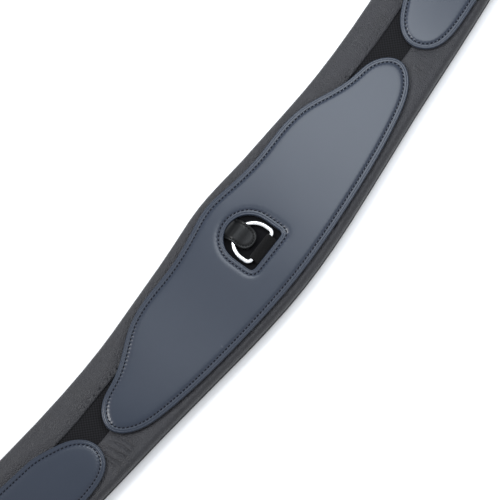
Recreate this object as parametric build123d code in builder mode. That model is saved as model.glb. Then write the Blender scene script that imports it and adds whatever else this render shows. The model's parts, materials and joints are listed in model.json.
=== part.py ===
"""Long anatomic saddle girth for a jumping saddle, lying flat with its lining down.

A padded body carries three stitched leather panels. A webbing strap runs through the body from end to
end. A D-shaped recess in the centre panel holds a D ring for a breastplate, with a leather tab over it.
At each end two elastics carry roller buckles for the saddle's girth straps.

Frame: +X along the girth, +Y towards its front edge, +Z up through the panels. The origin is on the
underside of the lining, in the middle of the girth.
"""

import math
import os

from build123d import *

os.makedirs("parts", exist_ok=True)

# ---------------------------------------------------------------- driving dimensions, millimetres
# The padded body: its edges curve for |x| < wing_x and run straight and parallel in the wings.
wing_x = 240.0
wing_angle = 6.2
wing_length = 284.0
pad_front = [(0, 49.8), (40, 46.8), (80, 44.4), (130, 42.0), (180, 43.2), (wing_x, 48.3)]
pad_rear = [(0, -50.2), (80, -44.9), (160, -35.8), (wing_x, -28.2)]
pad_corner_r = 16.0

# Heights of the layers above the underside.
z_lining = 1.6
z_foam = 11.6
z_cover = 13.0
z_backing = 14.2
z_rim = 16.0
z_filler = 15.5
z_field = 17.2
cover_wall = 1.4

# The strap inside the body, and the slot between the two covers that shows it.
strap_line = [(0, 5.5), (190, 8.8), (wing_x, 12.0)]
strap_width = 40.0
strap_thickness = 1.6
strap_end_gap = 46.0
slot_width = 23.0

# Centre panel, right half: its front edge and its rear edge, from the middle to the tip.
panel_tip = (181.5, -3.0)
panel_front = [(0, 44.0), (20, 41.4), (55, 37.0), (90, 36.8), (110, 33.0), (130, 24.6), (150, 18.0), (168, 14.0)]
panel_rear = [(0, -43.6), (60, -40.4), (110, -34.8), (150, -27.2), (170, -19.3)]
field_margin = 4.6
filler_margin = 6.2

# End panel, right-hand one. Its straight edges lean away from the wing's by the widening slopes.
end_tip = (196.5, -1.0)
end_front = [(204, 13.8), (220, 23.3), (wing_x, 30.4)]
end_rear = [(204, -16.4), (220, -21.8), (wing_x, -21.4)]
end_front_widening = 0.044
end_rear_widening = -0.022
end_panel_gap = 12.0
end_corner_r = 15.0

# D-shaped recess through the centre panel.
recess_half_width = 19.2
recess_rear_y = -14.0
recess_arc_y = 3.5
recess_corner_r = 2.0
recess_lining_margin = 5.0
recess_lining_thickness = 0.4

# D ring and its webbing chape.
wire_r = 1.75
ring_half_width = 15.35
ring_bar_y = -7.8
ring_bow_y = -1.0
ring_corner_r = 3.4
ring_z = z_cover + 0.3 + wire_r
ring_chape_width = 23.4
ring_chape_thickness = 0.9
ring_chape_tail_y = -30.0
ring_bore_clearance = 0.15

# Keeper tab over the ring, with its hook-and-loop fastening.
tab_x = -1.0
tab_width = 18.0
tab_end_y = -1.8
tab_hidden_y = 30.0
tab_under = [(19.1, 13.0), (17.1, 15.2), (14.6, 17.1), (9.5, 17.15), (6.2, 15.8), (3.8, 15.2)]
tab_over = [(19.5, 14.2), (17.8, 16.4), (14.8, 18.3), (9.6, 18.35), (6.2, 17.0), (3.6, 16.4)]
tab_end_r = 8.4
patch_width = 12.0
patch_y = (-0.6, 3.8)
patch_thickness = 1.0

# Elastics and buckles, each in its own frame: x outward from the end of the body, y across, z up.
row_spacing = 38.5
elastic_width = 25.0
elastic_thickness = 4.0
elastic_hidden = 40.0
elastic_bend = (3.0, 42.0)
elastic_end_x = 59.0
bar_x = 74.0
bar_z = 3.8
toe_x = 102.0
frame_half_width = 15.75
frame_wire_r = 2.0
frame_corner_r = 3.5
chape_start_x = 44.0
chape_width = 23.8
chape_thickness = 1.4
chape_gap = 0.3
chape_slot_x = 62.5
chape_slot_width = 5.8
tongue_width = 4.6
tongue_thickness = 2.6
tongue_tip_x = 107.0
tongue_eye_wall = 1.6
tongue_tip_r = 1.1
roller_r = 3.4
roller_length = 23.8
roller_gap = 0.2
bore_clearance = 0.08
pocket_clearance = 0.1

# Values that follow from them.
lean = math.radians(wing_angle)
wing_slope = math.tan(lean)
middle_only = wing_x + wing_length / 2
elastic_top_z = z_cover
elastic_low_z = bar_z - elastic_thickness / 2
sides = {"right": 1, "left": -1}
rows = {"front": 1, "rear": -1}


def save(part, name):
    """Labels a finished piece and writes it to its own file."""
    part.label = name
    export_step(part, f"parts/{name}.step")


def mirrored(half, shift=0.0):
    """The points of a right half, moved in y, with their mirror images to the left of them."""
    right = [(x, y + shift) for x, y in half]
    left = [(-x, y) for x, y in reversed(right) if x > 0]
    return left + right


def wing_end(point, inset=0.0, widening=0.0):
    """Where an edge that leaves the middle at a point meets the square end of its wing."""
    slope = wing_slope + widening
    reach = wing_length - inset - point[1] * math.sin(lean)
    run = reach / (math.cos(lean) + slope * math.sin(lean))
    return (point[0] + run, point[1] + run * slope)


def long_outline(ahead, behind, end_inset, corner_r=0.0):
    """Plan face between two long edges: splines in the middle, straight lines in the wings."""
    rising, falling = (1, wing_slope), (1, -wing_slope)
    front_end = wing_end(ahead[-1], end_inset)
    rear_end = wing_end(behind[-1], end_inset)
    with BuildSketch() as outline:
        with BuildLine():
            Spline(*ahead, tangents=(falling, rising))
            Polyline(ahead[-1], front_end, rear_end, behind[-1])
            Spline(*behind, tangents=(falling, rising))
            Polyline(ahead[0], (-front_end[0], front_end[1]), (-rear_end[0], rear_end[1]), behind[0])
        make_face()
        if corner_r > 0:
            fillet(outline.vertices().filter_by(lambda v: abs(v.X) > middle_only), corner_r)
    return outline.sketch


def pad_outline(inset=0.0):
    """Plan face of the padded body."""
    ahead = mirrored(pad_front, -inset)
    behind = mirrored(pad_rear, inset)
    return long_outline(ahead, behind, inset, pad_corner_r - inset)


def strap_band(width, end_inset):
    """Plan face of a band along the strap's centre line."""
    ahead = mirrored(strap_line, width / 2)
    behind = mirrored(strap_line, -width / 2)
    return long_outline(ahead, behind, end_inset)


def far_side(direction):
    """Plan face of everything on one side of the strap's centre line: 1 is ahead and -1 is behind."""
    beyond = 150.0
    centre = mirrored(strap_line)
    edge = mirrored(strap_line, direction * beyond)
    return long_outline(centre, edge, -beyond / 2)


def inset_spline(points, tangents, inset):
    """Spline through points that are moved to the right of its heading by the same distance."""
    even = (1, 1)
    curve = Spline(*points, tangents=tangents, tangent_scalars=even, mode=Mode.PRIVATE)
    moved = []
    for point in points:
        heading = curve.tangent_at(curve.param_at_point(point))
        moved.append((point[0] + inset * heading.Y, point[1] - inset * heading.X))
    Spline(*moved, tangents=tangents, tangent_scalars=even)
    return moved


def centre_outline(inset=0.0):
    """Plan face of the centre panel."""
    left_tip = (-panel_tip[0], panel_tip[1])
    ahead = [left_tip, *mirrored(panel_front), panel_tip]
    behind = [left_tip, *mirrored(panel_rear), panel_tip]
    with BuildSketch() as outline:
        with BuildLine():
            inset_spline(ahead, ((0, 1), (0, -1)), inset)
            inset_spline(behind, ((0, -1), (0, 1)), -inset)
        make_face()
    return outline.sketch


def end_outline(side, inset=0.0):
    """Plan face of the end panel on one side: 1 is the right and -1 is the left."""
    nose = [*reversed(end_rear), end_tip, *end_front]
    arriving = (-1, -(wing_slope + end_rear_widening))
    leaving = (1, wing_slope + end_front_widening)
    gap = end_panel_gap + inset
    with BuildSketch() as outline:
        with BuildLine():
            nose = inset_spline(nose, (arriving, leaving), inset)
            front_end = wing_end(nose[-1], gap, end_front_widening)
            rear_end = wing_end(nose[0], gap, end_rear_widening)
            Polyline(nose[-1], front_end, rear_end, nose[0])
        make_face()
        fillet(outline.vertices().filter_by(lambda v: v.X > middle_only), end_corner_r - inset)
        if side < 0:
            mirror(about=Plane.YZ, mode=Mode.REPLACE)
    return outline.sketch


def recess_outline(grow=0.0):
    """Plan face of the D-shaped recess, round side forward."""
    half = recess_half_width + grow
    low = recess_rear_y - grow
    with BuildSketch() as outline:
        with BuildLine():
            Polyline((-half, recess_arc_y), (-half, low), (half, low), (half, recess_arc_y))
            ThreePointArc((half, recess_arc_y), (0, recess_arc_y + half), (-half, recess_arc_y))
        make_face()
        fillet(outline.vertices().group_by(Axis.Y)[0], recess_corner_r + grow)
    return outline.sketch


def slab(face, bottom, top, mode=Mode.ADD):
    """Extrudes a plan face between two heights, in the part being built."""
    extrude(Pos(0, 0, bottom) * face, amount=top - bottom, dir=(0, 0, 1), mode=mode)


def cut_box(x_low, x_high, y_low, y_high, bottom, top):
    """Takes an upright box out of the part being built."""
    with Locations(((x_low + x_high) / 2, (y_low + y_high) / 2, (bottom + top) / 2)):
        Box(x_high - x_low, y_high - y_low, top - bottom, mode=Mode.SUBTRACT)


def out_of(side):
    """Direction in which the buckles of one side point away from the body."""
    return Vector(side * math.cos(lean), math.sin(lean), 0)


def row_origin(side, row):
    """Point on the floor where the middle of one elastic leaves the end of the body."""
    front_end = wing_end(pad_front[-1])
    rear_end = wing_end(pad_rear[-1])
    middle = Vector(side * (front_end[0] + rear_end[0]) / 2, (front_end[1] + rear_end[1]) / 2, 0)
    across = Vector(-side * math.sin(lean), math.cos(lean), 0)
    return middle + across * (row * row_spacing / 2)


def plan_plane(side, row, height=0.0):
    """Level plane of one buckle's own frame."""
    return Plane(origin=row_origin(side, row) + Vector(0, 0, height), x_dir=out_of(side), z_dir=(0, 0, 1))


def side_plane(side, row):
    """Upright plane of one buckle's own frame, along its middle, with x outward and y up."""
    out = out_of(side)
    return Plane(origin=row_origin(side, row), x_dir=out, z_dir=out.cross(Vector(0, 0, 1)))


def cut_elastic_pockets():
    """Takes room for the hidden ends of the four elastics out of the part being built."""
    past_end = 2 * cover_wall
    length = elastic_hidden + pocket_clearance + past_end
    middle_z = elastic_top_z - elastic_thickness / 2
    for side in sides.values():
        for row in rows.values():
            with Locations(plan_plane(side, row, middle_z)):
                with Locations((past_end - length / 2, 0)):
                    Box(length, elastic_width + 2 * pocket_clearance, elastic_thickness, mode=Mode.SUBTRACT)


def cut_chape_pocket():
    """Takes room for the D ring's chape out of the part being built."""
    half = ring_chape_width / 2 + pocket_clearance
    low = ring_z - wire_r - ring_bore_clearance - ring_chape_thickness
    cut_box(-half, half, ring_chape_tail_y - pocket_clearance, ring_bar_y + 5, low, z_backing)


# ---------------------------------------------------------------- padded body
def make_lining():
    """Smooth leather against the horse."""
    with BuildPart() as lining:
        slab(pad_outline(), 0, z_lining)
    save(lining.part, "lining")


def make_foam_core():
    """Foam padding, let in for the strap and for the ends of the elastics."""
    with BuildPart() as foam_core:
        slab(pad_outline(cover_wall), z_lining, z_foam)
        slab(strap_band(strap_width, strap_end_gap), z_foam - strap_thickness, z_foam, Mode.SUBTRACT)
        cut_elastic_pockets()
    save(foam_core.part, "foam_core")


def make_core_strap():
    """Webbing that takes the pull from one end of the girth to the other."""
    with BuildPart() as core_strap:
        slab(strap_band(strap_width, strap_end_gap), z_foam - strap_thickness, z_foam)
    save(core_strap.part, "core_strap")


def make_cover(name, other_half):
    """Grained leather over one long half of the body, down to the lining."""
    with BuildPart() as cover:
        slab(pad_outline(), z_lining, z_cover)
        slab(pad_outline(cover_wall), z_lining, z_foam, Mode.SUBTRACT)
        slab(strap_band(slot_width, strap_end_gap), z_foam, z_cover, Mode.SUBTRACT)
        slab(far_side(other_half), z_lining, z_cover, Mode.SUBTRACT)
        slab(recess_outline(recess_lining_margin), z_cover - recess_lining_thickness, z_cover, Mode.SUBTRACT)
        cut_elastic_pockets()
        cut_chape_pocket()
    save(cover.part, name)


def make_recess_lining():
    """Black cloth on the floor of the D-shaped recess."""
    with BuildPart() as recess_lining:
        slab(recess_outline(recess_lining_margin), z_cover - recess_lining_thickness, z_cover)
        cut_chape_pocket()
    save(recess_lining.part, "recess_lining")


# ---------------------------------------------------------------- centre panel
def make_centre_backing():
    """Stiff leather under the centre panel, let in for the D ring's chape and the tab's root."""
    half = tab_width / 2 + pocket_clearance
    with BuildPart() as centre_backing:
        slab(centre_outline(), z_cover, z_backing)
        slab(recess_outline(), z_cover, z_backing, Mode.SUBTRACT)
        cut_chape_pocket()
        cut_box(tab_x - half, tab_x + half, 0, tab_hidden_y + pocket_clearance, z_cover, z_backing)
    save(centre_backing.part, "centre_backing")


def make_centre_filler():
    """Thin padding that raises the field of the centre panel."""
    with BuildPart() as centre_filler:
        slab(centre_outline(filler_margin), z_backing, z_filler)
        slab(recess_outline(filler_margin), z_backing, z_filler, Mode.SUBTRACT)
    save(centre_filler.part, "centre_filler")


def make_centre_panel():
    """Smooth leather with a flat rim and a raised field."""
    with BuildPart() as centre_panel:
        slab(centre_outline(), z_backing, z_rim)
        slab(centre_outline(field_margin), z_rim, z_field)
        slab(recess_outline(field_margin), z_rim, z_field, Mode.SUBTRACT)
        slab(centre_outline(filler_margin), z_backing, z_filler, Mode.SUBTRACT)
        slab(recess_outline(filler_margin), z_backing, z_filler)
        slab(recess_outline(field_margin), z_rim, z_field, Mode.SUBTRACT)
        slab(recess_outline(), z_backing, z_field, Mode.SUBTRACT)
    save(centre_panel.part, "centre_panel")


# ---------------------------------------------------------------- D ring and keeper tab
def make_d_ring():
    """Polished steel ring that a breastplate clips to."""
    with BuildPart() as d_ring:
        with BuildLine(Plane.XY.offset(ring_z)) as path:
            side_start = (ring_half_width, ring_bow_y)
            side_end = (-ring_half_width, ring_bow_y)
            bar_corners = ((ring_half_width, ring_bar_y), (-ring_half_width, ring_bar_y))
            FilletPolyline(side_start, *bar_corners, side_end, radius=ring_corner_r)
            ThreePointArc(side_end, (0, ring_bow_y + ring_half_width), side_start)
        with BuildSketch(Plane(origin=path.wire() @ 0, z_dir=path.wire() % 0)):
            Circle(wire_r)
        sweep()
    save(d_ring.part, "d_ring")


def make_d_ring_chape():
    """Webbing folded round the bar of the D ring, with its tail sewn under the panel."""
    bore_r = wire_r + ring_bore_clearance
    outer_r = bore_r + ring_chape_thickness
    floor = ring_z - outer_r
    tail_top = floor + 2 * ring_chape_thickness
    with BuildPart() as d_ring_chape:
        with BuildSketch(Plane.YZ) as profile:
            with Locations((ring_bar_y, ring_z)):
                Circle(outer_r)
            with BuildLine():
                Polyline(
                    (ring_bar_y, floor),
                    (ring_chape_tail_y, floor),
                    (ring_chape_tail_y, tail_top),
                    (recess_rear_y + 0.2, tail_top),
                    (ring_bar_y - 0.83 * outer_r, ring_z + 0.56 * outer_r),
                    (ring_bar_y, ring_z),
                    close=True,
                )
            make_face()
            with Locations((ring_bar_y, ring_z)):
                Circle(bore_r, mode=Mode.SUBTRACT)
        extrude(amount=ring_chape_width / 2, both=True)
    save(d_ring_chape.part, "d_ring_chape")


def tab_plan(half_width, low, high, end_r):
    """Plan face of the tab: a strip with its rear end rounded."""
    with BuildSketch() as outline:
        with Locations((tab_x, (low + high) / 2)):
            Rectangle(2 * half_width, high - low)
        fillet(outline.vertices().group_by(Axis.Y)[0], end_r)
    return outline.sketch


def make_keeper_tab():
    """Leather tab from under the panel, over the bow of the ring and down into its middle."""
    with BuildPart() as keeper_tab:
        with BuildSketch(Plane.YZ.offset(tab_x - tab_width / 2)):
            with BuildLine():
                Line((tab_hidden_y, z_cover), tab_under[0])
                Spline(*tab_under, tangents=((-1, 0.2), (-1, 0)))
                Line(tab_under[-1], (tab_end_y, tab_under[-1][1]))
                Line((tab_end_y, tab_under[-1][1]), (tab_end_y, tab_over[-1][1]))
                Line((tab_end_y, tab_over[-1][1]), tab_over[-1])
                Spline(*tab_over, tangents=((-1, 0.2), (-1, 0)))
                Line(tab_over[0], (tab_hidden_y, z_backing))
                Line((tab_hidden_y, z_backing), (tab_hidden_y, z_cover))
            make_face()
        extrude(amount=tab_width)
        slab(tab_plan(tab_width / 2, tab_end_y, tab_hidden_y, tab_end_r), z_cover, z_field + 2, Mode.INTERSECT)
    save(keeper_tab.part, "keeper_tab")


def make_patch(name, bottom):
    """One half of the hook-and-loop fastening that holds the tab down."""
    with BuildPart() as patch:
        with BuildSketch(Plane.XY.offset(bottom)):
            with Locations((tab_x, sum(patch_y) / 2)):
                RectangleRounded(patch_width, patch_y[1] - patch_y[0], 1.2)
        extrude(amount=patch_thickness)
    save(patch.part, name)


# ---------------------------------------------------------------- end panels
def make_end_set(side_name):
    """Backing, filler and panel over one wing of the body."""
    side = sides[side_name]
    with BuildPart() as backing:
        slab(end_outline(side), z_cover, z_backing)
    save(backing.part, f"{side_name}_end_backing")
    with BuildPart() as filler:
        slab(end_outline(side, filler_margin), z_backing, z_filler)
    save(filler.part, f"{side_name}_end_filler")
    with BuildPart() as panel:
        slab(end_outline(side), z_backing, z_rim)
        slab(end_outline(side, field_margin), z_rim, z_field)
        slab(end_outline(side, filler_margin), z_backing, z_filler, Mode.SUBTRACT)
    save(panel.part, f"{side_name}_end_panel")


# ---------------------------------------------------------------- elastics and buckles
def make_elastic(place, side, row):
    """Doubled elastic, sewn in under the end panel and dropping to the buckle's chape."""
    start = -elastic_hidden
    high_bottom = elastic_top_z - elastic_thickness
    low_top = elastic_low_z + elastic_thickness
    level = ((1, 0), (1, 0))
    with BuildPart() as elastic:
        with BuildSketch(side_plane(side, row)):
            with BuildLine():
                Line((start, elastic_top_z), (elastic_bend[0], elastic_top_z))
                Spline((elastic_bend[0], elastic_top_z), (elastic_bend[1], low_top), tangents=level)
                Line((elastic_bend[1], low_top), (elastic_end_x, low_top))
                Line((elastic_end_x, low_top), (elastic_end_x, elastic_low_z))
                Line((elastic_end_x, elastic_low_z), (elastic_bend[1], elastic_low_z))
                Spline((elastic_bend[0], high_bottom), (elastic_bend[1], elastic_low_z), tangents=level)
                Line((elastic_bend[0], high_bottom), (start, high_bottom))
                Line((start, high_bottom), (start, elastic_top_z))
            make_face()
        extrude(amount=elastic_width / 2, both=True)
    save(elastic.part, f"{place}_elastic")


def make_buckle_chape(place, side, row):
    """Leather folded round the heel bar and over the elastic's end, slotted for the tongue."""
    inner_r = frame_wire_r + chape_gap
    outer_r = inner_r + chape_thickness
    nose_x = bar_x + outer_r
    with BuildPart() as chape:
        with BuildSketch(side_plane(side, row)):
            with Locations(((chape_start_x + bar_x) / 2, bar_z)):
                Rectangle(bar_x - chape_start_x, 2 * outer_r)
            with Locations((bar_x, bar_z)):
                Circle(outer_r)
            with Locations(((chape_start_x + bar_x) / 2, bar_z)):
                Rectangle(bar_x - chape_start_x, 2 * inner_r, mode=Mode.SUBTRACT)
            with Locations((bar_x, bar_z)):
                Circle(inner_r, mode=Mode.SUBTRACT)
        extrude(amount=chape_width / 2, both=True)
        with BuildSketch(plan_plane(side, row)):
            with Locations(((chape_slot_x + nose_x + 1) / 2, 0)):
                Rectangle(nose_x + 1 - chape_slot_x, chape_slot_width)
        extrude(amount=2 * bar_z + outer_r, mode=Mode.SUBTRACT)
    save(chape.part, f"{place}_buckle_chape")


def make_buckle_frame(place, side, row):
    """Steel wire frame: heel bar, side bars and toe bar."""
    with BuildPart() as frame:
        with BuildLine(plan_plane(side, row, bar_z)) as path:
            corners = [(toe_x, frame_half_width), (toe_x, -frame_half_width)]
            corners += [(bar_x, -frame_half_width), (bar_x, frame_half_width)]
            FilletPolyline(*corners, radius=frame_corner_r, close=True)
        with BuildSketch(Plane(origin=path.wire() @ 0, z_dir=path.wire() % 0)):
            Circle(frame_wire_r)
        sweep()
    save(frame.part, f"{place}_buckle_frame")


def make_tongue(place, side, row):
    """Tongue with an eye round the heel bar, resting over the roller."""
    bore_r = frame_wire_r + bore_clearance
    eye_r = bore_r + tongue_eye_wall
    eye_top = bar_z + eye_r
    rest_z = bar_z + roller_r + roller_gap + tongue_thickness
    rise = (rest_z - eye_top) / (toe_x - bar_x)
    tip_top = eye_top + rise * (tongue_tip_x - bar_x)
    with BuildPart() as tongue:
        with BuildSketch(side_plane(side, row)) as profile:
            with BuildLine():
                Polyline(
                    (bar_x, eye_top),
                    (tongue_tip_x, tip_top),
                    (tongue_tip_x, tip_top - tongue_thickness),
                    (bar_x, eye_top - tongue_thickness),
                    close=True,
                )
            make_face()
            fillet(profile.vertices().group_by(Axis.X)[-1], tongue_tip_r)
            with Locations((bar_x, bar_z)):
                Circle(eye_r)
                Circle(bore_r, mode=Mode.SUBTRACT)
        extrude(amount=tongue_width / 2, both=True)
    save(tongue.part, f"{place}_tongue")


def make_roller(place, side, row):
    """Sleeve that turns on the toe bar as the girth strap is drawn up."""
    with BuildPart() as roller:
        with BuildSketch(side_plane(side, row)):
            with Locations((toe_x, bar_z)):
                Circle(roller_r)
                Circle(frame_wire_r + bore_clearance, mode=Mode.SUBTRACT)
        extrude(amount=roller_length / 2, both=True)
    save(roller.part, f"{place}_roller")


make_lining()
make_foam_core()
make_core_strap()
make_cover("front_cover", -1)
make_cover("rear_cover", 1)
make_recess_lining()
make_centre_backing()
make_centre_filler()
make_centre_panel()
make_d_ring()
make_d_ring_chape()
make_keeper_tab()
make_patch("tab_loop_patch", z_cover)
make_patch("tab_hook_patch", tab_under[-1][1] - patch_thickness)

for side_name in sides:
    make_end_set(side_name)

for side_name, side in sides.items():
    for row_name, row in rows.items():
        place = f"{side_name}_{row_name}"
        make_elastic(place, side, row)
        make_buckle_chape(place, side, row)
        make_buckle_frame(place, side, row)
        make_tongue(place, side, row)
        make_roller(place, side, row)
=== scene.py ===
"""Looks of a long anatomic saddle girth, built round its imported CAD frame. Lengths are in millimetres
until a mesh is made, and the scene is in metres."""

import json
import math

import bpy
import numpy as np
from mathutils import Matrix, Vector
from mathutils.geometry import delaunay_2d_cdt


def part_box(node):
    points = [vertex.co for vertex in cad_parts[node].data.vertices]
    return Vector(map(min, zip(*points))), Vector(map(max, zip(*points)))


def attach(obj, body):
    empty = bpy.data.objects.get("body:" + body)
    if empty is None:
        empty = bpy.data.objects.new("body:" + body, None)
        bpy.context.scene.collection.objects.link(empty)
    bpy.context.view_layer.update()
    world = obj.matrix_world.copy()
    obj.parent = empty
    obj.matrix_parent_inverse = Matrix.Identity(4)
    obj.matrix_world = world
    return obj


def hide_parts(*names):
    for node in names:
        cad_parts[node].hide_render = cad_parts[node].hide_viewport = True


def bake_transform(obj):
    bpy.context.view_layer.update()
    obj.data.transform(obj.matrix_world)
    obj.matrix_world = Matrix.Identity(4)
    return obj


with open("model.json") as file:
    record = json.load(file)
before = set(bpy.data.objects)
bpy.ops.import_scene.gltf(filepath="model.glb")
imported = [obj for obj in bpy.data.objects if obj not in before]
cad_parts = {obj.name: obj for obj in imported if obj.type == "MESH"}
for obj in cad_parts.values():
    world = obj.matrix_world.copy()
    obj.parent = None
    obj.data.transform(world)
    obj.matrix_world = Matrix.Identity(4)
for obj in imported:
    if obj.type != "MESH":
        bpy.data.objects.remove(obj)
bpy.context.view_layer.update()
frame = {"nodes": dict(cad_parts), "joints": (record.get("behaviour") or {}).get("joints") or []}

nodes = frame["nodes"]
M = 0.001


# ---------------------------------------------------------------- heights and places from the frame
def low_z(node):
    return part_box(node)[0].z / M


def top_z(node):
    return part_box(node)[1].z / M


Z_COVER = top_z("front_cover")
Z_BACKING = top_z("centre_backing")
Z_FIELD = top_z("centre_panel")
STITCH_PITCH = 3.2
STITCH_INSET = 3.8


# ---------------------------------------------------------------- plan curves
def area_of(loop):
    x, y = loop[:, 0], loop[:, 1]
    return 0.5 * float(np.sum(x * np.roll(y, -1) - np.roll(x, -1) * y))


def cap_loops(node, z):
    """Loops that bound the flat faces of a CAD node at one height, in plan, the largest first."""
    mesh = nodes[node].data
    place = [tuple(round(c / M, 3) for c in v.co) for v in mesh.vertices]
    directed = set()
    for face in mesh.polygons:
        corners = [place[i] for i in face.vertices]
        if all(abs(c[2] - z) < 0.02 for c in corners):
            directed |= set(zip(corners, corners[1:] + corners[:1]))
    following = {a: b for a, b in directed if (b, a) not in directed}
    loops = []
    while following:
        start, point = following.popitem()
        loop = [start]
        while point != start:
            loop.append(point)
            point = following.pop(point)
        loop = np.array(loop)[:, :2]
        loops.append(loop if area_of(loop) > 0 else loop[::-1])
    return sorted(loops, key=area_of, reverse=True)


def resample(loop, spacing=None, count=None):
    """The same closed loop, with evenly spaced points."""
    closed = np.vstack([loop, loop[:1]])
    along = np.concatenate([[0], np.cumsum(np.linalg.norm(np.diff(closed, axis=0), axis=1))])
    count = count or int(round(along[-1] / spacing))
    at = np.arange(count) * along[-1] / count
    return np.column_stack([np.interp(at, along, closed[:, i]) for i in (0, 1)])


def soften(loop, turns):
    for _ in range(turns):
        loop = 0.5 * loop + 0.25 * (np.roll(loop, 1, 0) + np.roll(loop, -1, 0))
    return loop


def length_of(loop):
    return float(np.sum(np.linalg.norm(loop - np.roll(loop, -1, 0), axis=1)))


def inward(loop):
    """Unit normals that point into a counter-clockwise loop."""
    heading = np.roll(loop, -1, 0) - np.roll(loop, 1, 0)
    heading /= np.linalg.norm(heading, axis=1)[:, None]
    return np.column_stack([-heading[:, 1], heading[:, 0]])


def fine(loop, turns=12):
    """A CAD loop as a smooth, evenly spaced one."""
    return resample(soften(resample(loop, spacing=0.5), turns), spacing=0.5)


def distance_to(points, loop):
    """Distance from each point to the nearest point of a finely spaced loop."""
    best = np.full(len(points), 1e9)
    for part in np.array_split(np.arange(len(points)), max(1, len(points) // 1500)):
        gap = points[part][:, None, :] - loop[None, :, :]
        best[part] = np.sqrt((gap ** 2).sum(2).min(1))
    return best


def inside(points, loop):
    """Whether each point is inside a loop."""
    x, y = points[:, 0], points[:, 1]
    hit = np.zeros(len(points), bool)
    nxt = np.roll(loop, -1, 0)
    for (x0, y0), (x1, y1) in zip(loop, nxt):
        if y0 != y1:
            cross = (y0 > y) != (y1 > y)
            hit ^= cross & (x < (x1 - x0) * (y - y0) / (y1 - y0) + x0)
    return hit


def smooth01(t):
    t = np.clip(t, 0, 1)
    return t * t * (3 - 2 * t)


def ripple(points, size, seed, octaves=3):
    """Soft repeatable noise in plan, between about -1 and 1."""
    pick = np.random.default_rng(seed)
    total = np.zeros(len(points))
    for octave in range(octaves):
        for _ in range(5):
            angle, phase = pick.uniform(0, 2 * math.pi, 2)
            wave = 2 ** octave / size
            along = points[:, 0] * math.cos(angle) + points[:, 1] * math.sin(angle)
            total += np.sin(along * wave * 2 * math.pi * pick.uniform(0.7, 1.3) + phase) / 2 ** octave / 5
    return total


def spread(x0, x1, y0, y1, spacing):
    """Points of an even triangular grid over a box."""
    rows = []
    for k, y in enumerate(np.arange(y0, y1, spacing * 0.866)):
        x = np.arange(x0 + (k % 2) * spacing / 2, x1, spacing)
        rows.append(np.column_stack([x, np.full(len(x), y)]))
    return np.vstack(rows)


# ---------------------------------------------------------------- meshes
class Shell:
    """Points and faces of one piece, built ring by ring."""

    def __init__(self):
        self.points = np.zeros((0, 3))
        self.faces = []

    def ring(self, plan, z):
        start = len(self.points)
        column = np.broadcast_to(np.asarray(z, float), (len(plan),))
        self.points = np.vstack([self.points, np.column_stack([plan, column])])
        return np.arange(start, start + len(plan))

    def bridge(self, a, b, flip=False):
        for i in range(len(a)):
            j = (i + 1) % len(a)
            quad = (a[i], a[j], b[j], b[i])
            self.faces.append(quad[::-1] if flip else quad)

    def fill(self, outer, holes, spacing, height, flip=False, dense=()):
        """Triangles between a ring and the rings of its holes, over evenly spread inner points, which
        lie closer inside each dense box."""
        rims = [outer, *holes]
        rim_index = np.concatenate(rims)
        rim_plan = self.points[rim_index][:, :2]
        low, high = rim_plan.min(0), rim_plan.max(0)
        inner = spread(low[0], high[0], low[1], high[1], spacing)
        for x0, x1, y0, y1, step in dense:
            boxed = (inner[:, 0] > x0) & (inner[:, 0] < x1) & (inner[:, 1] > y0) & (inner[:, 1] < y1)
            inner = np.vstack([inner[~boxed], spread(x0, x1, y0, y1, step)])
        keep = inside(inner, self.points[outer][:, :2])
        for hole in holes:
            keep &= ~inside(inner, self.points[hole][:, :2])
        inner = inner[keep]
        inner = inner[distance_to(inner, rim_plan) > spacing * 0.55]
        start = len(self.points)
        self.points = np.vstack([self.points, np.column_stack([inner, height(inner)])])
        index = np.concatenate([rim_index, np.arange(start, start + len(inner))])
        plan = np.vstack([rim_plan, inner])
        edges, first = [], 0
        for rim in rims:
            n = len(rim)
            edges += [(first + i, first + (i + 1) % n) for i in range(n)]
            first += n
        out = delaunay_2d_cdt([Vector(p) for p in plan], edges, [], 0, 1e-7)
        source = [o[0] for o in out[3]]
        triangles = np.array([[source[i] for i in f] for f in out[2] if len(f) == 3])
        middle = plan[triangles].mean(1)
        keep = inside(middle, self.points[outer][:, :2])
        for hole in holes:
            keep &= ~inside(middle, self.points[hole][:, :2])
        triangles = triangles[keep]
        a, b, c = (plan[triangles[:, i]] for i in range(3))
        turn = (b[:, 0] - a[:, 0]) * (c[:, 1] - a[:, 1]) - (b[:, 1] - a[:, 1]) * (c[:, 0] - a[:, 0])
        triangles[turn < 0] = triangles[turn < 0][:, ::-1]
        if flip:
            triangles = triangles[:, ::-1]
        self.faces += [tuple(int(index[i]) for i in t) for t in triangles]

    def make(self, name, material):
        return make_mesh(name, self.points, self.faces, material)


def make_mesh(name, points_mm, faces, material):
    mesh = bpy.data.meshes.new(name)
    corners = [tuple(p * M) for p in np.asarray(points_mm, float)]
    mesh.from_pydata(corners, [], [tuple(map(int, f)) for f in faces])
    mesh.materials.append(material)
    mesh.polygons.foreach_set("use_smooth", [True] * len(mesh.polygons))
    mesh.update()
    piece = bpy.data.objects.new(name, mesh)
    bpy.context.scene.collection.objects.link(piece)
    return piece


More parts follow.
